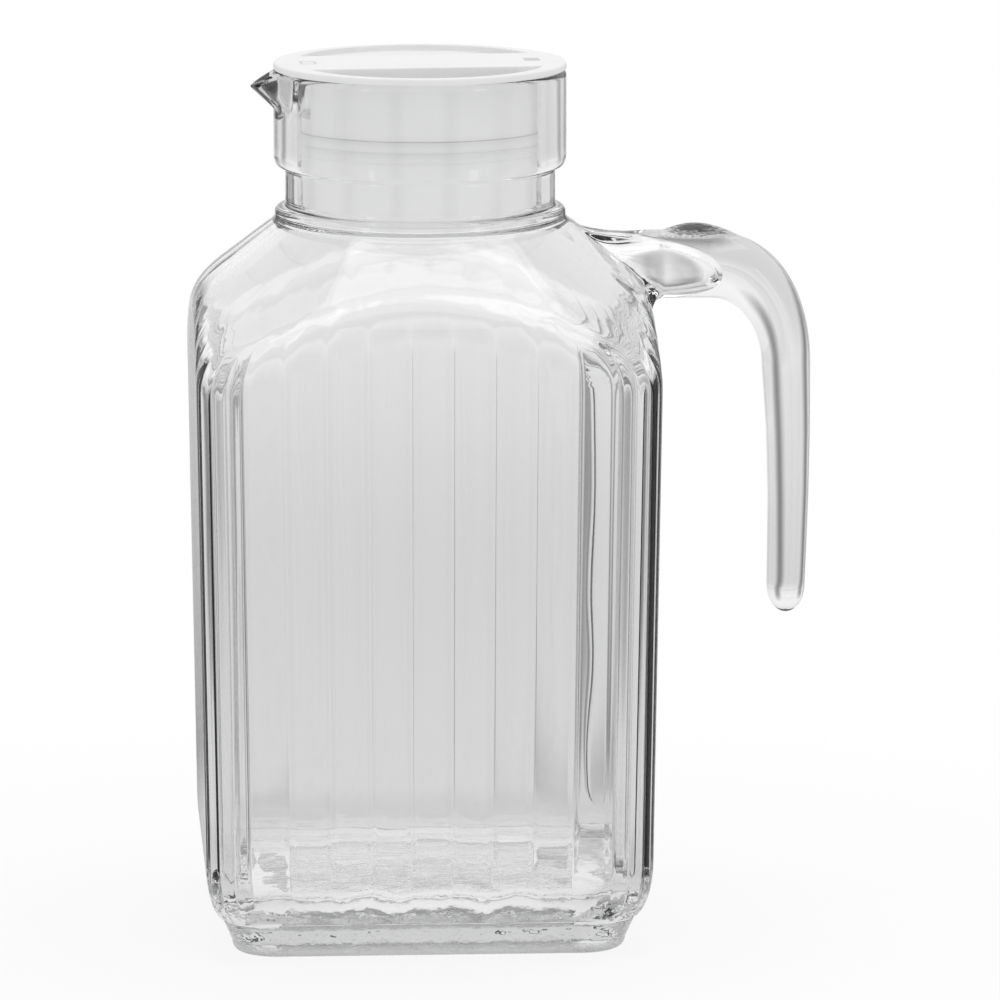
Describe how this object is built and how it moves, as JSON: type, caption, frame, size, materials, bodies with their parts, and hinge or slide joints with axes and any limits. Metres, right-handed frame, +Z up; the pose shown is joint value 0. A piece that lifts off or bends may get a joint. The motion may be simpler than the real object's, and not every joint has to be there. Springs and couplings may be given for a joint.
{
  "type": "glass pitcher with lid",
  "caption": "Square clear glass jug with a round collar, beak spout and open J-handle, closed by a white stopper lid that turns to pour and lifts off.",
  "frame": {"origin": "middle of the foot's bearing face, under the axis of the neck", "axes": "+Z up along the neck's axis, +X towards the handle, the spout on -X, the front face on -Y"},
  "size_m": [0.1557, 0.115, 0.218],
  "materials": {
    "glass": "clear, fire polished",
    "lid_plastic": "satin white moulding",
    "plug_plastic": "natural moulding",
    "seal_rubber": "soft clear grey"
  },
  "bodies": {
    "jug": {"glass_body": "glass", "glass_handle": "glass"},
    "seal_ring": {"lid_seal": "seal_rubber"},
    "lid": {"lid_cap": "lid_plastic", "lid_plug": "plug_plastic"}
  },
  "joints": [
    {"name": "lid_lift", "type": "slide", "parent": "jug", "child": "seal_ring", "axis": [0, 0, 1], "range_m": [0, 0.06]},
    {"name": "lid_turn", "type": "hinge", "parent": "seal_ring", "child": "lid", "pos_m": [0, 0, 0.2], "axis": [0, 0, 1], "continuous": true}
  ]
}
